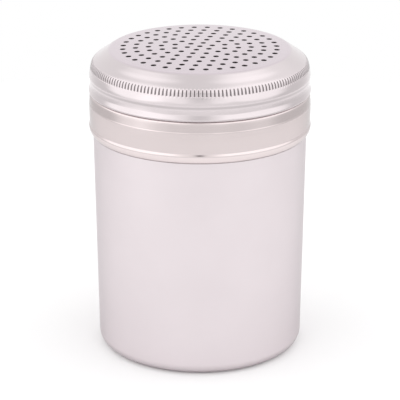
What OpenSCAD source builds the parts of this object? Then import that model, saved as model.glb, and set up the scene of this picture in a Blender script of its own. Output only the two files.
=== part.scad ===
// Stainless steel spice shaker: a drawn cup, a pressed-on collar with a neck, and a perforated lid.
// The origin is the middle of the base on the table, and +Z is up. All sizes are millimetres.

/* [Overall] */
// Height from the table to the top of the lid
overall_h = 98.3; // [94:0.1:104]
// Outside diameter of the collar band
collar_d = 70; // [69.6:0.1:70.4]
// Thickness of the steel sheet that every piece is pressed from
sheet = 0.5; // [0.4:0.05:0.6]

/* [Cup] */
// Outside diameter of the cup where it enters the collar
cup_top_d = 67.6; // [67.4:0.1:67.7]
// Outside diameter of the cup just above its rounded heel
cup_base_d = 65.5; // [64:0.5:67]
// Radius of the heel between the wall and the base
heel_r = 3.8; // [2.5:0.1:6]
// Height of the stiffening panel pressed up into the base
panel_h = 0.6; // [0.3:0.1:1]
// Diameter of that panel
panel_d = 48; // [40:1:52]

/* [Collar] */
// Height of the collar's lower edge above the table
collar_z = 70.9; // [66:0.1:73]
// Height of the rolled-in lower edge, up to where it is widest
roll_h = 2.4; // [2:0.1:3]
// How far that edge stands proud of the plain band
bead_rise = 0.12; // [0.05:0.01:0.15]
// Outside diameter of the neck under the lid
neck_d = 66.1; // [65.6:0.1:66.2]

/* [Lid] */
// Outside diameter of the lid's plain skirt
skirt_d = 69.6; // [69.4:0.1:69.8]
// Distance from the top of the lid down to its hem
lid_h = 14; // [13.8:0.1:14.2]
// Rise of the perforated dome above its own edge
dome_rise = 0.6; // [0.2:0.05:1]
// Diameter of the perforated dome
dome_d = 55.6; // [55:0.1:56]
// Fall of the plain slope between the dome and the grip, in degrees
slope_a = 34.5; // [33:0.5:36]

/* [Perforations] */
// Diameter of each shaker hole
hole_d = 1.5; // [1:0.1:2.5]
// Distance from one ring of holes to the next
ring_pitch = 4.03; // [3.5:0.01:4.1]
// Number of rings round the middle hole
rings = 6; // [3:1:6]
// Turn of the pattern when the lid is screwed home, in degrees
lid_turn = 14.3; // [0:0.1:60]

/* [Grip] */
// Number of notches pressed into the lid's shoulder
notches = 177; // [90:1:200]
// Turn of the notches when the lid is screwed home, in degrees
notch_turn = 0.9; // [0:0.1:4]
// Width of each notch
notch_w = 0.5; // [0.3:0.05:0.6]
// Depth of each notch
notch_depth = 0.3; // [0.15:0.05:0.35]

/* [Hidden] */
satin_steel = "#E2DADC";
polished_steel = "#DAD4D5";
round_fn = 96;
hole_fn = 14;

// Room between the neck's lip and the underside of the lid
lip_gap = 0.3;
// Room between the collar's shoulder and the lid's hem
hem_gap = 0.25;

// Points on an arc about [cr, cz], from angle a0 to angle a1 in n steps
function arc(cr, cz, r, a0, a1, n) =
    [for (i = [0:n]) let (a = a0 + (a1 - a0) * i / n) [cr + r * cos(a), cz + r * sin(a)]];

// The arc of radius r, hollow when r < 0, that leaves point p at outward angle a0 and ends at a1
function arc_from(p, r, a0, a1, n) =
    arc(p[0] - r * cos(a0), p[1] - r * sin(a0), r, a0, a1, n);

function last(path) = path[len(path) - 1];

// Path a followed by path b, which starts where a ends
function join(a, b) = concat(a, [for (i = [1:len(b) - 1]) b[i]]);

// Unit vector square to the step from a to b, on its left
function left_of(a, b) = [a[1] - b[1], b[0] - a[0]] / norm(b - a);

// The path moved sideways by t, with mitred corners
function beside(path, t) =
    let (n = len(path) - 1)
    [for (i = [0:n])
        let (before = left_of(path[max(i - 1, 0)], path[max(i, 1)]),
             after = left_of(path[min(i, n - 1)], path[min(i + 1, n)]))
        path[i] + t * (before + after) / (1 + before * after)];

// Sheet metal formed along a path, with its thickness on the left (t > 0) or the right (t < 0)
module formed_sheet(path, t) {
    back = beside(path, t);
    n = len(path) - 1;
    rotate_extrude($fn = round_fn)
        polygon(concat(path, [for (i = [n:-1:0]) [max(back[i][0], 0), back[i][1]]]));
}

// Radius of the cup's outside at height z: a straight draft from heel to collar
function cup_r(z) =
    cup_base_d / 2 + (cup_top_d - cup_base_d) / 2 * (z - heel_r) / (collar_z - heel_r);

// The collar's shoulder: a wide crown above the band, and a tight corner just under the lid's hem
lid_z = overall_h - lid_h;
crown_r = 12;
crown_a = 15;
corner_r = 0.6;
shoulder_z = lid_z - hem_gap - crown_r * sin(crown_a) - corner_r * (1 - sin(crown_a));

// The cup's rim flares out over its last 3 mm, from the wall to the inside of the collar
rim_z = shoulder_z + 0.5;
flare_h = 3;
collar_in_r = collar_d / 2 - sheet;

// Deep-drawn cup: raised base panel, standing ring, heel, tapered wall and flared rim
module body_cup() {
    panel_r = panel_d / 2;
    flare_z = rim_z - flare_h;
    flare = [for (i = [0:4]) let (wall_r = cup_r(flare_z))
        [wall_r + (collar_in_r - wall_r) * (1 - cos(45 * i)) / 2, flare_z + 0.9 * flare_h * i / 4]];
    outside = concat(
        [[0, panel_h], [panel_r, panel_h], [panel_r + 3 * panel_h, 0]],
        arc(cup_r(heel_r) - heel_r, heel_r, heel_r, -90, 0, 8),
        flare,
        [[collar_in_r, rim_z]]);
    color(satin_steel) formed_sheet(outside, sheet);
}

// The lid's outline from its middle outwards: dome, brow, straight slope and rounded grip
dome_r = dome_d / 2;
dome_curve_r = (dome_r * dome_r + dome_rise * dome_rise) / (2 * dome_rise);
dome_edge_a = 90 - asin(dome_r / dome_curve_r);
dome = arc(0, overall_h - dome_curve_r, dome_curve_r, 90, dome_edge_a, 4);
brow_r = 2.4;
brow = arc_from(last(dome), brow_r, dome_edge_a, 90 - slope_a, 5);
slope_w = 4.2;
slope_end = last(brow) + slope_w * [1, -tan(slope_a)];
grip_r = 2.3;
grip_end_a = 12;
grip_steps = 6;
grip = arc_from(slope_end, grip_r, 90 - slope_a, grip_end_a, grip_steps);
grip_mid_a = (90 - slope_a + grip_end_a) / 2;
grip_mid = grip[grip_steps / 2];

// From the grip the skirt widens in a cone to its full radius, and a groove is rolled in below
skirt_r = skirt_d / 2;
cone_h = 3.2;
cone_w = skirt_r - last(grip)[0];
cone = [last(grip) + [0.9 * cone_w, -0.8 * cone_h], last(grip) + [cone_w, -cone_h]];
groove_z = overall_h - 10.1;
groove_w = 2.2;
groove_depth = 0.35;
groove = [for (i = [0:8])
    [skirt_r - groove_depth * (1 - cos(45 * i)) / 2, groove_z + groove_w * (0.5 - i / 8)]];

// The edge bells out a little and is curled in under itself
hem_r = 0.6;
hem_bulge = 0.25;
hem_h = 1.4;
hem = concat(
    [[skirt_r + 0.3 * hem_bulge, lid_z + 1.5 * hem_h], [skirt_r + 0.9 * hem_bulge, lid_z + hem_h]],
    arc(skirt_r + hem_bulge - hem_r, lid_z + hem_r, hem_r, 0, -150, 8));

lid_outside = concat(join(dome, brow), grip, cone, groove, hem);

// The neck's lip is rounded in, and its top is set just under the lid's slope
neck_r = neck_d / 2;
lip_r = 0.8;
lip_fall = (neck_r - lip_r - last(brow)[0]) * tan(slope_a);
neck_top_z = last(brow)[1] - lip_fall - (lip_r + lip_gap + sheet) / cos(slope_a) + lip_r;

// Collar: lower edge rolled in on to the cup, plain band, shoulder, and the neck the lid screws on
module neck_collar() {
    band_r = collar_d / 2;
    bead_z = collar_z + roll_h;
    roll_r = 3.6;
    roll = arc(band_r + bead_rise - roll_r, bead_z, roll_r, -asin(roll_h / roll_r), 0, 5);
    crease_r = 1;
    crease_a = acos(1 - bead_rise / (2 * crease_r));
    bead_top = arc_from(last(roll), crease_r, 0, crease_a, 3);
    crease = join(bead_top, arc_from(last(bead_top), -crease_r, crease_a, 0, 3));
    crown = arc_from([band_r, shoulder_z], crown_r, 0, crown_a, 4);
    corner = arc_from(last(crown), corner_r, crown_a, 90, 5);
    root_r = 0.5;
    root = concat([last(corner)],
        arc(neck_r + root_r, last(corner)[1] + root_r, root_r, -90, -180, 3));
    lip = arc(neck_r - lip_r, neck_top_z - lip_r, lip_r, 0, 60, 4);
    shoulder = join(concat(join(roll, crease), crown), join(corner, root));
    color(polished_steel) formed_sheet(concat(shoulder, lip), sheet);
}

// One ring of notches pressed into the rounded grip, each fading out at both ends
module grip_notches() {
    cutter = [1, notch_w, 3];
    for (i = [0:notches - 1])
        rotate(notch_turn + 360 * i / notches)
            translate([grip_mid[0], 0, grip_mid[1]])
                rotate([0, -grip_mid_a, 0])
                    translate([cutter[0] / 2 - notch_depth, 0, 0])
                        cube(cutter, center = true);
}

// Middle hole and rings of 6, 12, 18 ... holes, every ring started from the same radius line
module shaker_holes() {
    punch_h = 6;
    for (n = [0:rings])
        for (k = [0:max(6 * n, 1) - 1])
            rotate(n == 0 ? 0 : lid_turn + 60 * k / n)
                translate([n * ring_pitch, 0, overall_h - dome_rise - punch_h / 2])
                    cylinder(h = punch_h, d = hole_d, $fn = hole_fn);
}

// Perforated screw lid pressed in one piece
module lid() {
    color(polished_steel) difference() {
        formed_sheet(lid_outside, -sheet);
        grip_notches();
        shaker_holes();
    }
}

body_cup();
neck_collar();
lid();
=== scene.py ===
"""Stainless steel spice shaker: a drawn cup, a screw collar and a perforated lid, on a white table."""
import bpy
import numpy as np
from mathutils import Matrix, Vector


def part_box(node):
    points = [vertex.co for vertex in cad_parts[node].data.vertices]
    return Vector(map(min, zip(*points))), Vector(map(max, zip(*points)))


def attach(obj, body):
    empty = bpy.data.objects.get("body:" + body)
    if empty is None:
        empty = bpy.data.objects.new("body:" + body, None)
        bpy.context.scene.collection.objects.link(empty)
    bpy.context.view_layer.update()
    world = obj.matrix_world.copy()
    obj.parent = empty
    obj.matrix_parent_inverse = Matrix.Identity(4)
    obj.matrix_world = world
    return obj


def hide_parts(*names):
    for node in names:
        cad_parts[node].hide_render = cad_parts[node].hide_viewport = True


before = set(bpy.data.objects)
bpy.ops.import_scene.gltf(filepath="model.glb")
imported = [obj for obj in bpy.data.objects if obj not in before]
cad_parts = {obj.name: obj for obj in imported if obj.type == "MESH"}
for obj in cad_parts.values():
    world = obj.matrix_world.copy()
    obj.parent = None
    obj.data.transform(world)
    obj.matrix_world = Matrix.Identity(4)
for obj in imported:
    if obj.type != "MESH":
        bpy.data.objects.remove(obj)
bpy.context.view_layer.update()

MM = 0.001

# Sizes are in millimetres, and those of the table and the camera in metres. A name that ends in _R is
# a radius, _W a width, _H a height, _Z a height above the table, and _A or _TURN an angle in degrees.


def node_box(node):
    """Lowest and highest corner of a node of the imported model, in millimetres."""
    return np.array([list(corner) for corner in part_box(node)]) / MM


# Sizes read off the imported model. The widest radii are the smallest half width of a node's box, so
# that the turned piece stays inside it.
CUP_RIM_Z = node_box("body_cup")[1, 2]
collar_low, collar_high = node_box("neck_collar")
COLLAR_Z = collar_low[2]
NECK_TOP_Z = collar_high[2]
BEAD_R = np.min(np.abs([collar_low[:2], collar_high[:2]]))
lid_low, lid_high = node_box("lid")
HEM_Z = lid_low[2]
TOP_Z = lid_high[2]
HEM_R = np.min(np.abs([lid_low[:2], lid_high[:2]]))

SHEET = 0.5  # thickness of the steel that every piece is pressed from
COLLAR_R = 35.0  # plain band of the collar, which the cup's rim is held in


# ---------------------------------------------------------------- outlines

# Outlines are paths of (radius, height) beside the axis that the pieces are turned round

NEAR = 1e-5  # steps shorter than this are left out of a path


def arc(centre_r, centre_z, radius, start, end, steps):
    """Points on a circle about (centre_r, centre_z), from angle start to angle end."""
    turn = np.radians(np.linspace(start, end, steps + 1))
    return np.column_stack([centre_r + radius * np.cos(turn), centre_z + radius * np.sin(turn)])


def arc_from(point, radius, start, end, steps):
    """The arc that leaves a point square to angle start and ends square to angle end.

    It is hollow where the radius is negative.
    """
    turn = np.radians(start)
    centre = point - radius * np.array([np.cos(turn), np.sin(turn)])
    return arc(centre[0], centre[1], radius, start, end, steps)


def swept(start, end, across, upwards):
    """Points between start and end: each has gone its own share of the way across and upwards."""
    share = np.column_stack([across, upwards])
    return np.asarray(start) * (1 - share) + np.asarray(end) * share


def line(start, end, steps):
    """Evenly spaced points from start to end."""
    share = np.linspace(0, 1, steps + 1)
    return swept(start, end, share, share)


def swell(share):
    """Half a wave from 0 to 1, level at both ends: half of one less the cosine."""
    return (1 - np.cos(np.pi * share)) / 2


def eased(share, ends):
    """From 0 to 1 at an even rate, but for a parabola over that share at each of its ends."""
    low, high = np.minimum(share, ends), np.minimum(1 - share, ends)
    middle = np.clip(share - ends, 0, 1 - 2 * ends)
    return (middle + low ** 2 / (2 * ends) + ends / 2 - high ** 2 / (2 * ends)) / (1 - ends)


def join(*paths):
    """Paths one after another, without the points that repeat where one ends and the next starts."""
    path = np.vstack(paths)
    step = np.linalg.norm(np.diff(path, axis=0), axis=1)
    return path[np.concatenate([[True], step > NEAR])]


def sideways(path):
    """Directions on the left of a path that move it sideways by 1, with mitred corners.

    At each point it is the sum of the unit normals of the steps before and after, over 1 plus their
    dot product.
    """
    step = np.diff(path, axis=0)
    left = np.column_stack([-step[:, 1], step[:, 0]]) / np.linalg.norm(step, axis=1)[:, None]
    before = np.vstack([left[:1], left])
    after = np.vstack([left, left[-1:]])
    return (before + after) / (1 + np.sum(before * after, axis=1))[:, None]


def sheet_sides(path, thickness):
    """Both sides of a sheet: the path, and the path moved left by the thickness and run back."""
    back = path + thickness * sideways(path)
    back[:, 0] = np.maximum(back[:, 0], 0)
    return path, back[::-1]


def rounded_edge(path, back, steps):
    """Half circle round a free edge, from the last point of one side to the first of the other."""
    middle = (path[-1] + back[0]) / 2
    radius = (path[-1] - back[0]) / 2
    ahead = path[-1] - path[-2]
    ahead = ahead / np.linalg.norm(ahead) * np.linalg.norm(radius)
    turn = np.radians(np.linspace(0, 180, steps + 1))[1:-1, None]
    return middle + radius * np.cos(turn) + ahead * np.sin(turn)


# ---------------------------------------------------------------- meshes

# The sheared and the pressed finishes are painted dark, as the shade inside holes and notches.
PLAIN, SHEARED, PRESSED = range(3)  # finishes, by their place in a piece's list of materials
WELD_STEPS = 1e7  # steps to a metre: points on the same step are welded into one


def around(columns):
    """Evenly spaced angles once round the axis, in radians."""
    return np.linspace(0, 2 * np.pi, columns, endpoint=False)


def turned(path, angle):
    """A path turned round the axis, a row for each of its points.

    x is the radius times the cosine of the angle, y is the radius times its sine, and z the height.
    """
    radius, height = path[:, :1], path[:, 1:]
    return np.stack([radius * np.cos(angle), radius * np.sin(angle),
                     np.broadcast_to(height, (len(path), len(angle)))], axis=-1)


def grid_faces(rows, columns):
    """Quads between neighbouring rows of a grid whose columns close up into a ring."""
    row, column = np.meshgrid(np.arange(rows - 1), np.arange(columns), indexing="ij")
    beside = (column + 1) % columns
    quads = np.stack([row * columns + column, row * columns + beside,
                      (row + 1) * columns + beside, (row + 1) * columns + column], axis=-1)
    return quads.reshape(-1, 4)


def zip_faces(inner, outer, inner_first, outer_first):
    """Triangles between two rings with different counts of points, given by their angles.

    The points of both are taken in the order of their angles, and each makes a triangle with the
    last point before it on either ring. A triangle is written as a quad that ends twice on a corner.
    """
    order = np.argsort(np.concatenate([inner, outer]), kind="stable")
    on_outer = order >= len(inner)
    inner_at = (np.cumsum(~on_outer) - 1) % len(inner)
    outer_at = (np.cumsum(on_outer) - 1) % len(outer)
    reached = np.where(on_outer, outer_first + outer_at, inner_first + inner_at)
    inner_held = inner_first + np.where(on_outer, inner_at, np.roll(inner_at, 1))
    outer_held = outer_first + np.where(on_outer, np.roll(outer_at, 1), outer_at)
    return np.stack([inner_held, outer_held, reached, reached], axis=-1)


def facing_out(points, faces):
    """The faces, turned over if the closed shell that they make would be inside out.

    Its volume tells: the sum of (b - a) x (c - a) . a over the two triangles of each face.
    """
    a, b, c, d = (points[faces[:, corner]] for corner in range(4))
    volume = np.sum(np.cross(b - a, c - a) * a) + np.sum(np.cross(c - a, d - a) * a)
    return faces if volume > 0 else faces[:, ::-1]


def welded(blocks):
    """Points, faces and finishes of blocks of (points, faces, finish), with equal points made one.

    A quad that repeats one corner is then a triangle, and one that repeats two is left out.
    """
    counts = [points.size // 3 for points, _, _ in blocks]
    starts = np.cumsum([0] + counts)
    points = np.vstack([points.reshape(-1, 3) for points, _, _ in blocks]) * MM
    faces = np.vstack([faces + start for (_, faces, _), start in zip(blocks, starts)])
    finish = np.concatenate([np.broadcast_to(finish, len(faces)) for _, faces, finish in blocks])
    _, first, place = np.unique(np.round(points * WELD_STEPS).astype(np.int64), axis=0,
                                return_index=True, return_inverse=True)
    points = points[first]
    faces = facing_out(points, place.ravel()[faces])
    repeated = faces == np.roll(faces, -1, axis=1)
    is_quad = ~repeated.any(axis=1)
    is_triangle = repeated.sum(axis=1) == 1
    triangles = faces[is_triangle][~repeated[is_triangle]].reshape(-1, 3)
    finish = np.concatenate([finish[is_quad], finish[is_triangle]])
    return points, faces[is_quad].tolist() + triangles.tolist(), finish


def make_piece(name, blocks, finishes, body, node):
    """One smooth closed mesh from blocks of (points, faces, finish), in place of a node."""
    points, faces, finish = welded(blocks)
    mesh = bpy.data.meshes.new(name)
    mesh.from_pydata(points.tolist(), [], faces)
    mesh.polygons.foreach_set("use_smooth", np.ones(len(faces), dtype=bool))
    for material in finishes:
        mesh.materials.append(material)
    mesh.polygons.foreach_set("material_index", finish.astype(np.int32))
    mesh.update()
    piece = bpy.data.objects.new(name, mesh)
    bpy.context.scene.collection.objects.link(piece)
    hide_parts(node)
    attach(piece, body)


# ---------------------------------------------------------------- nodes

WHITE = (1.0, 1.0, 1.0, 1.0)


def linear(hex_colour):
    """Linear RGBA from an sRGB hex string, by that standard's straight part and power of 2.4."""
    value = np.array([int(hex_colour[i:i + 2], 16) for i in (1, 3, 5)]) / 255
    low = value / 12.92
    high = ((value + 0.055) / 1.055) ** 2.4
    return (*np.where(value <= 0.04045, low, high), 1.0)


def share_of(colour, share):
    """An RGBA colour times one share, or times three shares for red, green and blue."""
    return (*np.array(colour[:3]) * share, 1.0)


def add(tree, kind, settings=None, links=None):
    """A node of a kind: settings go to its sockets, or else its properties, and links feed sockets."""
    node = tree.nodes.new(kind)
    for key, value in (settings or {}).items():
        if isinstance(key, int) or key in node.inputs:
            node.inputs[key].default_value = value
        else:
            setattr(node, key, value)
    for key, socket in (links or {}).items():
        tree.links.new(socket, node.inputs[key])
    return node


# ---------------------------------------------------------------- stainless steel

# Type 304 stainless sheet, rubbed or rolled while it turns. That leaves streaks round the axis, which
# draw each highlight out upwards and downwards, and faint clouds where the wheel pressed harder.
# Real streaks are 0.01 to 0.1 mm wide, too fine to show, so they are drawn 0.2 mm wide and more.
STREAKS_A_RADIAN = 3.0  # makes each about 12 mm long on the wall
CLOUD_MM = 18  # width of the clouds, about that of the wheel's touch
CLOUD_KEEPS = 0.94  # share of the colour that the darkest cloud keeps
ROUGHNESS_SPREAD = 0.15  # share by which streaks and clouds change the roughness, up and down
NOISE_LOW, NOISE_HIGH = 0.7, 1.3  # what the streaks and clouds add up to, but for a few peaks

# Painted shade for the duller finishes: faces that look down are painted a little darker
PAINTED_SHADE_BELOW = [(-0.4, 0.94), (-0.05, 1.0)]


def streaks(tree, place, width_mm):
    """Noise over the angle round the axis, the height, and the distance from the middle of the base."""
    apart = add(tree, "ShaderNodeSeparateXYZ", links={"Vector": place.outputs["Object"]})
    angle = add(tree, "ShaderNodeMath", {"operation": "ARCTAN2"},
                {0: apart.outputs["Y"], 1: apart.outputs["X"]})
    away = add(tree, "ShaderNodeVectorMath", {"operation": "LENGTH"}, {0: place.outputs["Object"]})
    unrolled = add(tree, "ShaderNodeCombineXYZ",
                   links={"X": angle.outputs[0], "Y": apart.outputs["Z"], "Z": away.outputs["Value"]})
    fine = 1 / (width_mm * MM)
    scaled = add(tree, "ShaderNodeMapping", {"Scale": (STREAKS_A_RADIAN, fine, fine)},
                 {"Vector": unrolled.outputs[0]})
    return add(tree, "ShaderNodeTexNoise", {"Scale": 1.0, "Detail": 4.0, "Roughness": 0.6},
               {"Vector": scaled.outputs[0]})


def painted_shade_by_slope(tree, place, shades):
    """Painted shade: share of the colour kept, by a ramp from faces looking straight down to straight
    up.

    Each pair of shades is the upward part of a unit normal, and the share kept there: one number, or
    three for red, green and blue.
    """
    facing = add(tree, "ShaderNodeSeparateXYZ", links={"Vector": place.outputs["Normal"]})
    upward = add(tree, "ShaderNodeMath", {"operation": "MULTIPLY_ADD", 1: 0.5, 2: 0.5},
                 {0: facing.outputs["Z"]})
    ramp = add(tree, "ShaderNodeValToRGB", links={"Fac": upward.outputs[0]})
    stops = ramp.color_ramp
    stops.interpolation = "EASE"
    stops.elements[0].color = share_of(WHITE, shades[0][1])
    stops.elements[1].color = share_of(WHITE, shades[-1][1])
    for up, kept in shades:
        stops.elements.new((up + 1) / 2).color = share_of(WHITE, kept)
    return ramp


def steel(name, colour, roughness, streak_mm, streak_depth_mm, shades, glancing=1.0):
    """One finish of the steel: metallic, with streaks, clouds and painted shade, rough by both noises.

    glancing is the share of the colour kept at a glancing view, where scratches hide each other.
    """
    material = bpy.data.materials.new(name)
    material.use_nodes = True
    tree = material.node_tree
    tree.nodes.clear()
    place = add(tree, "ShaderNodeTexCoord")
    grain = streaks(tree, place, streak_mm)
    clouds = add(tree, "ShaderNodeTexNoise",
                 {"Scale": 1 / (CLOUD_MM * MM), "Detail": 3.0, "Roughness": 0.5},
                 {"Vector": place.outputs["Object"]})
    both = add(tree, "ShaderNodeMath", {"operation": "ADD"},
               {0: grain.outputs["Fac"], 1: clouds.outputs["Fac"]})
    rough = add(tree, "ShaderNodeMapRange",
                {"From Min": NOISE_LOW, "From Max": NOISE_HIGH,
                 "To Min": roughness * (1 - ROUGHNESS_SPREAD),
                 "To Max": roughness * (1 + ROUGHNESS_SPREAD)},
                {"Value": both.outputs[0]})
    clouded = add(tree, "ShaderNodeMix",
                  {"data_type": "RGBA", "A": linear(colour), "B": share_of(linear(colour), CLOUD_KEEPS)},
                  {"Factor": clouds.outputs["Fac"]})
    ramp = painted_shade_by_slope(tree, place, shades)
    shaded = add(tree, "ShaderNodeMix", {"data_type": "RGBA", "blend_type": "MULTIPLY", "Factor": 1.0},
                 {"A": clouded.outputs["Result"], "B": ramp.outputs["Color"]})
    bump = add(tree, "ShaderNodeBump", {"Strength": 1.0, "Distance": streak_depth_mm * MM},
               {"Height": grain.outputs["Fac"]})
    shader = add(tree, "ShaderNodeBsdfPrincipled",
                 {"Metallic": 1.0, "Specular Tint": share_of(WHITE, glancing)},
                 {"Base Color": shaded.outputs["Result"], "Roughness": rough.outputs[0],
                  "Normal": bump.outputs[0]})
    add(tree, "ShaderNodeOutputMaterial", links={"Surface": shader.outputs[0]})
    return material


# Deep drawn, then rubbed with a fine belt: a pale satin. It shows no mirror images, only broad soft
# lights that fade into each other, and it dulls at its edges, where its scratches are seen end on.
# Faces that look down are painted a little darker, as shade.
satin = steel("satin_304_stainless", "#E2D9DC", roughness=0.33, streak_mm=0.25,
              streak_depth_mm=0.002, shades=PAINTED_SHADE_BELOW, glancing=0.75)

# Pressed and buffed on a wheel: nearly a mirror, with crisp lights. Faces that look a little down,
# which are the step in the skirt and the rounding under the hem, are painted darker as shade. The
# dome, which looks up, is painted a little less green: a faint violet cast.
polished = steel("polished_304_stainless", "#DCD3D5", roughness=0.15, streak_mm=0.2,
                 streak_depth_mm=0.0006,
                 shades=[(-0.8, 1.0), (-0.5, 0.78), (-0.16, 0.74), (-0.03, 1.0),
                         (0.85, 1.0), (0.97, (0.985, 0.955, 1.0))])

# Rolled to its profile and buffed: the bead has bright crisp lights. The upright band, the crown and
# the corner under the lid are painted a little darker as shade, which leaves the bead the brightest,
# and the edge against the cup, which looks down, is painted darker still as shade.
rolled = steel("rolled_304_stainless", "#E8DCDC", roughness=0.15, streak_mm=0.2,
               streak_depth_mm=0.0006,
               shades=[(-0.64, 0.7), (-0.55, 1.0), (-0.12, 1.0), (-0.02, 0.85), (0.03, 0.85),
                       (0.06, 0.81), (0.15, 1.0), (0.36, 1.0), (0.5, 0.86)], glancing=0.75)

# Sheared by the punch and never polished: matt, and painted a dark grey as the shade inside the
# hole, so that each hole has a soft dark rim.
punched = steel("punched_edge_stainless", "#7A7274", roughness=0.6, streak_mm=0.2,
                streak_depth_mm=0.01, shades=PAINTED_SHADE_BELOW)

# Pressed by a knurling roller, out of reach of the wheel: a dull floor, painted grey as the shade in
# the notch, so that the notches read as dark lines.
pressed = steel("pressed_notch_stainless", "#8C8486", roughness=0.45, streak_mm=0.2,
                streak_depth_mm=0.01, shades=PAINTED_SHADE_BELOW)


# ---------------------------------------------------------------- cup

CUP_TOP_R = 33.8  # outside of the wall where it enters the collar
CUP_BASE_R = 32.75  # outside of the wall just above the heel
HEEL_R = 3.8  # rounding between the wall and the base
PANEL_R = 24.0  # panel pressed up into the base
PANEL_H = 0.6
PANEL_EDGE_W = 3 * PANEL_H  # soft step from the panel down to the standing ring
FLARE_H = 3.0  # top of the wall, flared out to the inside of the collar
FLARE_SHARE = 0.9  # share of that height in which it moves out
CUP_COLUMNS = 256


def cup_radius(height):
    """Outside of the cup's wall: a straight draft from the heel up to the collar."""
    return CUP_BASE_R + (CUP_TOP_R - CUP_BASE_R) * (height - HEEL_R) / (COLLAR_Z - HEEL_R)


def cup_outline():
    """Raised base panel, standing ring, heel, drafted wall, and a rim flared out to the collar."""
    panel = line([0, PANEL_H], [PANEL_R, PANEL_H], 6)
    share = np.linspace(0, 1, 9)
    panel_edge = swept(panel[-1], [PANEL_R + PANEL_EDGE_W, 0], share, swell(share))
    heel = arc(CUP_BASE_R - HEEL_R, HEEL_R, HEEL_R, -90, 0, 18)
    flare_z = CUP_RIM_Z - FLARE_H
    wall = line(heel[-1], [cup_radius(flare_z), flare_z], 59)
    share = np.linspace(0, 1, 12)
    flare = swept(wall[-1], [COLLAR_R - SHEET, flare_z + FLARE_SHARE * FLARE_H], swell(share), share)
    rim = line(flare[-1], [flare[-1, 0], CUP_RIM_Z], 1)
    return join(panel, panel_edge, heel, wall, flare, rim)


def make_cup():
    """The cup's outline and its inner side, turned into one shell that closes on the axis."""
    outside, inside = sheet_sides(cup_outline(), SHEET)
    path = join(outside, inside)
    shell = turned(path, around(CUP_COLUMNS))
    make_piece("drawn_cup", [(shell, grid_faces(len(path), CUP_COLUMNS), PLAIN)],
               [satin], "shaker", "body_cup")


# ---------------------------------------------------------------- collar

ROLL_R = 3.6  # rounding of the lower edge, which is rolled in on to the cup
ROLL_H = 2.55  # its height, up to where it is widest
CREASE_R = 0.5  # roundings below and above the straight facet on the bead
CREASE_A = 20.0  # lean of that facet, inwards as it rises
WAIST = 0.12  # how far the band is drawn in just over the bead
WAIST_A = -1.6  # lean of the band from there to its full radius, outwards as it rises
BEND_Z = 80.6  # start of the soft bend over the band
BEND_R = 2.0
BEND_A = 9.0
CROWN_A = 3.5  # lean of the straight crown between that bend and the corner
CORNER_R = 0.6  # corner just under the lid's hem
HEM_GAP = 0.04  # room between that corner and the hem
SHOULDER_Z = HEM_Z - HEM_GAP - CORNER_R * (1 - np.sin(np.radians(CROWN_A)))  # start of the corner
ROOT_R = 0.5  # hollow where the neck rises from the shoulder
NECK_R = 33.05
LIP_R = 0.8  # rounding of the neck's mouth
THREAD_Z = SHOULDER_Z + 1.3  # where the middle of the thread starts
THREAD_PITCH = 3.2
THREAD_TURNS = 1.6
THREAD_H = 0.45
THREAD_W = THREAD_PITCH / 2.4
THREAD_FADE = 0.12  # turns in which the thread rises at its start and sinks at its end
ON_NECK = SHEET + 0.05  # both sides of the neck's wall are within this of its radius
COLLAR_COLUMNS = 384


def collar_outline():
    """Rolled bead with its facet, waist, plain band, bend, crown, corner, root, neck wall and lip."""
    roll_a = np.degrees(np.arcsin(ROLL_H / ROLL_R))
    roll = arc(BEAD_R - ROLL_R, COLLAR_Z + ROLL_H, ROLL_R, -roll_a, 0, 14)
    bead_top = arc_from(roll[-1], CREASE_R, 0, CREASE_A, 6)
    lean = np.radians(CREASE_A)
    facet_w = (BEAD_R - COLLAR_R + WAIST - 2 * CREASE_R * (1 - np.cos(lean))) / np.sin(lean)
    facet_end = bead_top[-1] + facet_w * np.array([-np.sin(lean), np.cos(lean)])
    facet = line(bead_top[-1], facet_end, 2)
    crease = arc_from(facet_end, -CREASE_R, CREASE_A, WAIST_A, 6)
    band_z = crease[-1, 1] + (COLLAR_R - crease[-1, 0]) / np.tan(np.radians(-WAIST_A))
    bend = arc_from(np.array([COLLAR_R, BEND_Z]), BEND_R, 0, BEND_A, 6)
    band = join(line(crease[-1], [COLLAR_R, band_z], 3), line([COLLAR_R, band_z], bend[0], 4))
    unbend = arc_from(bend[-1], -BEND_R, BEND_A, CROWN_A, 5)
    crown_h = SHOULDER_Z - unbend[-1, 1]
    crown_end = unbend[-1] + crown_h * np.array([-np.tan(np.radians(CROWN_A)), 1])
    crown = line(unbend[-1], crown_end, 3)
    corner = arc_from(crown_end, CORNER_R, CROWN_A, 90, 10)
    root = arc(NECK_R + ROOT_R, corner[-1, 1] + ROOT_R, ROOT_R, -90, -180, 6)
    lip = arc(NECK_R - LIP_R, NECK_TOP_Z - LIP_R, LIP_R, 0, 60, 8)
    shoulder = join(roll, bead_top, facet, crease, band, bend, unbend, crown, corner)
    return join(shoulder, line(corner[-1], root[0], 1), root, line(root[-1], lip[0], 40), lip)


def thread_rise(radius, height, angle):
    """Rise of the thread off the neck: a ridge that climbs one pitch a turn.

    Across the ridge it is the squared cosine of the distance from its middle, and along it that
    fades in a straight line to nothing at both ends.
    """
    climb = (height - THREAD_Z) / THREAD_PITCH - angle / (2 * np.pi)
    lap = np.round(climb)
    off_middle = (climb - lap) * THREAD_PITCH / THREAD_W
    ridge = np.cos(np.clip(off_middle, -0.5, 0.5) * np.pi) ** 2
    along = lap + angle / (2 * np.pi)
    fade = np.clip(np.minimum(along, THREAD_TURNS - along) / THREAD_FADE, 0, 1)
    return THREAD_H * ridge * fade * (np.abs(radius - NECK_R) < ON_NECK)


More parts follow.
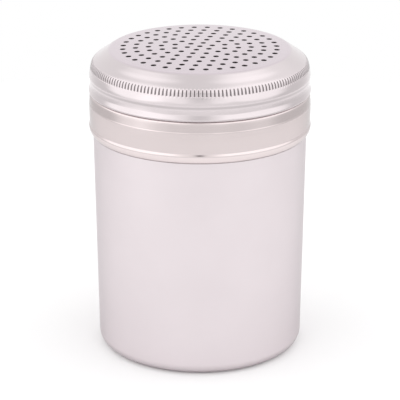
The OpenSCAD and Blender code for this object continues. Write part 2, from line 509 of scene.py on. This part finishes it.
def make_collar():
    """The collar's outline and its inner side turned into one shell, with the thread rolled in.

    The thread lifts both sides of the neck's wall.
    """
    outside, inside = sheet_sides(collar_outline(), SHEET)
    path = join(outside, rounded_edge(outside, inside, 6), inside, outside[:1])
    angle = around(COLLAR_COLUMNS)
    rise = thread_rise(path[:, :1], path[:, 1:], angle)
    away = np.stack([np.cos(angle), np.sin(angle), np.zeros_like(angle)], axis=-1)
    shell = turned(path, angle) + rise[..., None] * away
    make_piece("screw_collar", [(shell, grid_faces(len(path), COLLAR_COLUMNS), PLAIN)],
               [rolled], "shaker", "neck_collar")


# ---------------------------------------------------------------- perforated dome

DOME_R = 27.8
DOME_RISE = 0.6
DOME_CURVE_R = (DOME_R ** 2 + DOME_RISE ** 2) / (2 * DOME_RISE)  # of the ball that it is a cap of
HOLE_R = 0.87
HOLE_ROLL = 0.06  # rounding that the punch leaves on the upper edge
HOLE_BURR = 0.05  # flare that it leaves on the lower edge
HOLE_LAND = 0.3  # share of the way to the cell's edge at which one more loop of points lies
RING_PITCH = 4.03
RINGS = 6
LID_TURN = 14.3  # turn of the line of holes that every ring starts from

# The dome is laid out in cells, one round each hole, so ring n has 6 n cells. These are the counts of
# points round the middle cell and round the outside of each ring: each count can be shared out evenly
# among the cells on both its sides, which then meet point to point.
EDGE_POINTS = [24, 48, 72, 144, 240, 360, 360]
SIDE_POINTS = 5  # points along each straight side of a cell


def dome_height(radius):
    """Outside of the dome: a shallow ball cap, sqrt(curve radius ^ 2 - radius ^ 2) over its centre."""
    return TOP_Z - DOME_CURVE_R + np.sqrt(DOME_CURVE_R ** 2 - radius ** 2)


def hole_loops():
    """Loops from a cell's edge over the punched edge, down the hole's wall and back underneath.

    Each row is (share of the way to the cell's edge, radius round the hole, drop below the dome).
    """
    top = [(share, HOLE_R + HOLE_ROLL, 0.0) for share in (1.0, HOLE_LAND)]
    over = np.radians(np.linspace(0, 90, 4))
    edge = [(0.0, HOLE_R + HOLE_ROLL * (1 - np.sin(a)), HOLE_ROLL * (1 - np.cos(a))) for a in over]
    foot = [(0.0, HOLE_R, SHEET - HOLE_BURR), (0.0, HOLE_R + HOLE_BURR, SHEET)]
    under = [(1.0, HOLE_R + HOLE_BURR, SHEET)]
    return np.array(top + edge + foot + under)


def cell_edge(ring):
    """Edge of one hole's cell, a sector of its ring: radii, and angles from its middle in radians."""
    inner, outer = (ring - 0.5) * RING_PITCH, (ring + 0.5) * RING_PITCH
    half = np.pi / (6 * ring)
    inner_count = EDGE_POINTS[ring - 1] // (6 * ring)
    outer_count = EDGE_POINTS[ring] // (6 * ring)
    sides = np.linspace(0, 1, SIDE_POINTS, endpoint=False)
    radius = np.concatenate([np.full(outer_count, outer), outer - (outer - inner) * sides,
                             np.full(inner_count, inner), inner + (outer - inner) * sides])
    turn = np.concatenate([np.linspace(-half, half, outer_count, endpoint=False),
                           np.full(SIDE_POINTS, half),
                           np.linspace(half, -half, inner_count, endpoint=False),
                           np.full(SIDE_POINTS, -half)])
    return radius, turn


def perforated_ring(ring):
    """All cells of one ring of holes, as points, faces and finishes.

    A point starts on a circle round the hole, goes its loop's share of the way to the cell's edge,
    turns with its cell, and lies on the dome less the loop's drop.
    """
    if ring == 0:
        turn = around(EDGE_POINTS[0])
        radius = np.full(EDGE_POINTS[0], RING_PITCH / 2)
        cells = 1
    else:
        radius, turn = cell_edge(ring)
        cells = 6 * ring
    edge = np.stack([radius * np.cos(turn), radius * np.sin(turn)], axis=-1)
    centre = np.array([ring * RING_PITCH, 0.0])
    away = edge - centre
    away = away / np.linalg.norm(away, axis=1)[:, None]
    share, hole_radius, drop = hole_loops().T
    circle = centre + hole_radius[:, None, None] * away
    flat = circle + share[:, None, None] * (edge - circle)
    angle = np.radians(LID_TURN) + around(cells)
    cosine, sine = np.cos(angle)[:, None, None], np.sin(angle)[:, None, None]
    x = flat[None, ..., 0] * cosine - flat[None, ..., 1] * sine
    y = flat[None, ..., 0] * sine + flat[None, ..., 1] * cosine
    z = dome_height(np.hypot(x, y)) - drop[None, :, None]
    cell_faces = grid_faces(len(drop), len(radius))
    cell_points = len(drop) * len(radius)
    faces = (cell_faces + cell_points * np.arange(cells)[:, None, None]).reshape(-1, 4)
    # The hole's wall gets the sheared finish, painted dark as the shade inside the hole.
    in_hole = (drop[:-1] > 0) & (drop[:-1] < SHEET)
    finish = np.where(np.tile(np.repeat(in_hole, len(radius)), cells), SHEARED, PLAIN)
    return np.stack([x, y, z], axis=-1), faces, finish


# ---------------------------------------------------------------- lid

BROW_R = 2.4  # rounding between the dome and the slope
SLOPE_A = 34.5  # fall of the plain slope
SLOPE_W = 4.2
DISH_DEPTH = 0.06  # dip of the slope, where pressing the dome has drawn the sheet in
DISH_START = 0.3  # shares of the way down the slope at which the dip starts and ends
DISH_END = 0.95
GRIP_R = 2.3  # rounded grip that carries the notches
GRIP_END_A = 12.0
CONE_H = 3.2  # below the grip the skirt widens to its full radius
CONE_BEND = 0.8  # share of the cone's height over which it is straight
CONE_OUT = 0.9  # share of its width that it has gained there
SKIRT_R = 34.8
GROOVE_Z = 89.4  # top of the step that is rolled in round the skirt
GROOVE_H = 1.5
GROOVE_DEPTH = 0.14
BULGE_Z = 86.6  # start of the bulge out to the hem
BULGE_EASE = 0.14  # share of the bulge that is rounded at each end
CURL_R = 0.6  # hem, curled in under itself
CURL_A = -150
NOTCHES = 177
NOTCH_TURN = 0.9
NOTCH_DEPTH = 0.27
NOTCH_START = 0.45  # distances down the grip at which the notches start and end
NOTCH_END = 3.05
NOTCH_TOP_SHARE = 0.55  # share of its width that a notch has at its top
DEEP_SHARE = 0.3  # share of the full depth from which a notch is painted grey, as its shade

# Points across one notch and the land on both its sides, in shares of the pitch, and which are pressed
NOTCH_PLACES = np.array([-0.5, -0.38, -0.25, -0.15, 0.0, 0.15, 0.25, 0.38])
NOTCH_PRESSED = np.array([0, 0, 0, 1, 1, 1, 0, 0])


def top_path():
    """The lid's outside from the last ring of cells: edge of the dome, brow and dished slope.

    The dish is a full wave: it sinks and rises again as half of one less the cosine.
    """
    radii = np.linspace((RINGS + 0.5) * RING_PITCH, DOME_R, 4)
    dome = np.column_stack([radii, dome_height(radii)])
    dome_edge_a = 90 - np.degrees(np.arcsin(DOME_R / DOME_CURVE_R))
    brow = arc_from(dome[-1], BROW_R, dome_edge_a, 90 - SLOPE_A, 8)
    fall = np.array([1, -np.tan(np.radians(SLOPE_A))])
    slope = line(brow[-1], brow[-1] + SLOPE_W * fall, 16)
    down = np.linspace(0, 1, len(slope))
    slope[:, 1] -= DISH_DEPTH * swell(2 * np.clip((down - DISH_START) / (DISH_END - DISH_START), 0, 1))
    return join(dome, brow, slope)


def cone_path(start):
    """Below the grip: a straight cone that a parabola bends into the upright skirt."""
    down = np.linspace(0, 1, 9)
    bent = 1 - (1 - CONE_OUT) * ((1 - down) / (1 - CONE_BEND)) ** 2
    out = np.where(down < CONE_BEND, CONE_OUT / CONE_BEND * down, bent)
    return swept(start, [SKIRT_R, start[1] - CONE_H], out, down)


def skirt_path():
    """The step rolled in round the skirt, the plain wall, the bulge and the curled hem."""
    down = np.linspace(0, 1, 9)
    groove = swept([SKIRT_R, GROOVE_Z], [SKIRT_R - GROOVE_DEPTH, GROOVE_Z - GROOVE_H], swell(down), down)
    down = np.linspace(0, 1, 11)
    bulge = swept([groove[-1, 0], BULGE_Z], [HEM_R, HEM_Z + CURL_R], eased(down, BULGE_EASE), down)
    curl = arc(HEM_R - CURL_R, HEM_Z + CURL_R, CURL_R, 0, CURL_A, 10)
    return join(groove, bulge, curl)


def notched_grip(grip):
    """The grip turned round the axis with its notches pressed in square to it.

    Down a notch its share of the full depth is 1 less the fourth power of the distance from its
    middle, where its ends are at 1. Across, it has a flat floor and steep walls, and it is narrower
    at the top. What comes back is each row's angles, the points, and which faces are deep.
    """
    step = np.linalg.norm(np.diff(grip, axis=0), axis=1)
    down = np.concatenate([[0], np.cumsum(step)])
    along = np.clip((down - NOTCH_START) / (NOTCH_END - NOTCH_START), 0, 1)[:, None]
    hump = 1 - np.abs(2 * along - 1) ** 4
    width = NOTCH_TOP_SHARE + (1 - NOTCH_TOP_SHARE) * along
    place = NOTCH_PLACES * width
    place[:, 0] = NOTCH_PLACES[0]  # halfway between two notches, at any width
    turn = (np.arange(NOTCHES)[None, :, None] + place[:, None, :]).reshape(len(grip), -1)
    angle = np.radians(NOTCH_TURN) + 2 * np.pi * turn / NOTCHES
    depth = NOTCH_DEPTH * hump * np.tile(NOTCH_PRESSED, NOTCHES)
    out_r, out_z = sideways(grip).T[..., None]
    radius = grip[:, :1] - depth * out_r
    points = np.stack([radius * np.cos(angle), radius * np.sin(angle), grip[:, 1:] - depth * out_z],
                      axis=-1)
    # Faces deep in a notch get the pressed finish, painted grey as the notch's shade.
    deep = depth > DEEP_SHARE * NOTCH_DEPTH
    deep = deep | np.roll(deep, -1, axis=1)
    return angle, points, deep[:-1] & deep[1:]


def make_lid():
    """Perforated cells, slope, notched grip, skirt and hem, and the inner side, as one shell.

    The notched stretch starts a little way up the slope and ends a little way down the cone. The
    points of the smooth stretches line up with those round the last ring of cells, and triangles
    join them to the finer points of the notches.
    """
    top = top_path()
    rounded = arc_from(top[-1], GRIP_R, 90 - SLOPE_A, GRIP_END_A, 9)
    cone = cone_path(rounded[-1])
    upper, grip, lower = top[:-2], join(top[-2:], rounded, cone[:3]), join(cone[3:], skirt_path())
    whole = join(upper, grip, lower)
    _, inside = sheet_sides(whole, -SHEET)
    inside[-1] = whole[0] - [0, SHEET]  # where the undersides of the cells end
    rest = join(lower, rounded_edge(whole, inside, 6), inside)

    columns = EDGE_POINTS[-1]
    angle = np.radians(LID_TURN % (360 / columns)) + around(columns)
    slope_points, rest_points = turned(upper, angle), turned(rest, angle)
    fine_angle, grip_points, deep = notched_grip(grip)
    fine_columns = fine_angle.shape[1]
    seam_points = np.vstack([slope_points[-1], grip_points[0], grip_points[-1], rest_points[0]])
    seam_above = zip_faces(angle, fine_angle[0], 0, columns)
    seam_below = zip_faces(angle, fine_angle[-1], columns + 2 * fine_columns, columns + fine_columns)

    # All faces are wound like those of the cells. The paths run outwards and down, and the lower seam
    # has its finer ring above, so these are turned over.
    seam_faces = np.vstack([seam_above, seam_below[:, [1, 0, 2, 3]]])
    slope_faces = grid_faces(len(upper), columns)[:, ::-1]
    grip_faces = grid_faces(len(grip), fine_columns)[:, ::-1]
    rest_faces = grid_faces(len(rest), columns)[:, ::-1]
    blocks = [perforated_ring(ring) for ring in range(RINGS + 1)]
    blocks.append((slope_points, slope_faces, PLAIN))
    blocks.append((grip_points, grip_faces, np.where(deep.ravel(), PRESSED, PLAIN)))
    blocks.append((rest_points, rest_faces, PLAIN))
    blocks.append((seam_points, seam_faces, PLAIN))
    make_piece("perforated_lid", blocks, [polished, punched, pressed],
               "lid", "lid")


make_cup()
make_collar()
make_lid()


# ---------------------------------------------------------------- table

TABLE_RADIUS = 0.3
TABLE_POINTS = 96
TABLE_COLOUR = (0.9, 0.9, 0.9, 1.0)
TABLE_LIFT = 0.04  # light that only the camera and reflections see, which lifts the table to white


# Lacquered board, sprayed matt white: it has no gloss, so the shaker's shadow is all that it shows
def table_white():
    """Matt white that the camera and reflections see lifted by a little light, shadow and all."""
    material = bpy.data.materials.new("matt_white_table")
    material.use_nodes = True
    tree = material.node_tree
    tree.nodes.clear()
    ray = add(tree, "ShaderNodeLightPath")
    seen = add(tree, "ShaderNodeMath", {"operation": "MAXIMUM"},
               {0: ray.outputs["Is Camera Ray"], 1: ray.outputs["Is Glossy Ray"]})
    seen_through = add(tree, "ShaderNodeMath", {"operation": "MAXIMUM"},
                       {0: seen.outputs[0], 1: ray.outputs["Is Transmission Ray"]})
    lift = add(tree, "ShaderNodeMath", {"operation": "MULTIPLY", 1: TABLE_LIFT},
               {0: seen_through.outputs[0]})
    matt = add(tree, "ShaderNodeBsdfDiffuse", {"Color": TABLE_COLOUR})
    glow = add(tree, "ShaderNodeEmission", links={"Strength": lift.outputs[0]})
    both = add(tree, "ShaderNodeAddShader", links={0: matt.outputs[0], 1: glow.outputs[0]})
    add(tree, "ShaderNodeOutputMaterial", links={"Surface": both.outputs[0]})
    return material


table_turn = around(TABLE_POINTS)
table_edge = np.stack([np.cos(table_turn), np.sin(table_turn), np.zeros(TABLE_POINTS)], axis=-1)
table_mesh = bpy.data.meshes.new("table")
table_mesh.from_pydata((TABLE_RADIUS * table_edge).tolist(), [], [tuple(range(TABLE_POINTS))])
table_mesh.materials.append(table_white())
table = bpy.data.objects.new("table", table_mesh)
bpy.context.scene.collection.objects.link(table)


# ---------------------------------------------------------------- surroundings

# A white studio lights the shaker from all round, a little more from the front and the back
SURROUND = 0.93
SURROUND_RISE = 0.08

# Round patches of it that are brighter or duller. Each row gives the azimuth from the front towards
# +X, the elevation, the brightness added, the angle from its middle within which that is full, and
# the angle beyond which it is gone.
PATCHES = [(-73, 31, 0.42, 38, 53),  # big soft light on the left
           (68, 36, 0.37, 38, 52),  # and one on the right
           (-22, 3, 0.2, 4, 14),  # glow to the left of the camera
           (22, 3, 0.2, 4, 14),  # and one to its right
           (-50, -9, 0.11, 10, 24),  # low glow on the left
           (0, 14, -0.14, 2, 13),  # gap between the lights
           (0, 20, -0.8, 2.5, 4.5),  # the camera itself
           (-120, -20, -0.13, 8, 34),  # duller low down behind on the left
           (112, -18, -0.15, 8, 40),  # and on the right
           (125, 50, 0.12, 10, 35)]  # glow high up behind on the right


def studio_world():
    """White surroundings with the patches added. The camera itself sees plain white."""
    world = bpy.data.worlds.new("studio")
    world.use_nodes = True
    tree = world.node_tree
    tree.nodes.clear()
    ray = add(tree, "ShaderNodeLightPath")
    place = add(tree, "ShaderNodeTexCoord")
    apart = add(tree, "ShaderNodeSeparateXYZ", links={"Vector": place.outputs["Generated"]})
    depth = add(tree, "ShaderNodeMath", {"operation": "ABSOLUTE"}, {0: apart.outputs["Y"]})
    level = add(tree, "ShaderNodeMath", {"operation": "MULTIPLY_ADD", 1: SURROUND_RISE, 2: SURROUND},
                {0: depth.outputs[0]})
    for azimuth, elevation, brightness, full, gone in PATCHES:
        bearing, rise = np.radians(azimuth), np.radians(elevation)
        middle = (np.sin(bearing) * np.cos(rise), -np.cos(bearing) * np.cos(rise), np.sin(rise))
        towards = add(tree, "ShaderNodeVectorMath", {"operation": "DOT_PRODUCT", 1: middle},
                      {0: place.outputs["Generated"]})
        patch = add(tree, "ShaderNodeMapRange",
                    {"interpolation_type": "SMOOTHSTEP", "From Min": np.cos(np.radians(gone)),
                     "From Max": np.cos(np.radians(full)), "To Max": brightness},
                    {"Value": towards.outputs["Value"]})
        level = add(tree, "ShaderNodeMath", {"operation": "ADD"},
                    {0: level.outputs[0], 1: patch.outputs[0]})
    surround = add(tree, "ShaderNodeBackground", {"Color": WHITE}, {"Strength": level.outputs[0]})
    plain = add(tree, "ShaderNodeBackground", {"Color": WHITE, "Strength": 1.0})
    chosen = add(tree, "ShaderNodeMixShader",
                 links={0: ray.outputs["Is Camera Ray"], 1: surround.outputs[0], 2: plain.outputs[0]})
    add(tree, "ShaderNodeOutputWorld", links={"Surface": chosen.outputs[0]})
    return world


bpy.context.scene.world = studio_world()


# ---------------------------------------------------------------- camera

# The photograph's camera: its distance, tilt and focal length fitted to the outline and the holes
CAMERA_AIM = Vector((0.00004, 0.0, 0.04704))
CAMERA_DISTANCE = 0.6769
CAMERA_ELEVATION = 19.98  # degrees above the horizon
SENSOR_MM = 36.0
FOCAL_PIXELS = 2105.6  # focal length, in pixels of the photograph
PHOTO_PIXELS = 400  # width of the photograph

camera_data = bpy.data.cameras.new("camera")
camera_data.sensor_width = SENSOR_MM
camera_data.lens = SENSOR_MM * FOCAL_PIXELS / PHOTO_PIXELS
camera = bpy.data.objects.new("camera", camera_data)
camera_tilt = np.radians(CAMERA_ELEVATION)
camera.location = CAMERA_AIM + CAMERA_DISTANCE * Vector((0, -np.cos(camera_tilt), np.sin(camera_tilt)))
camera.rotation_euler = (CAMERA_AIM - camera.location).to_track_quat("-Z", "Y").to_euler()
bpy.context.scene.collection.objects.link(camera)
bpy.context.scene.camera = camera
bpy.context.scene.view_settings.view_transform = "Standard"
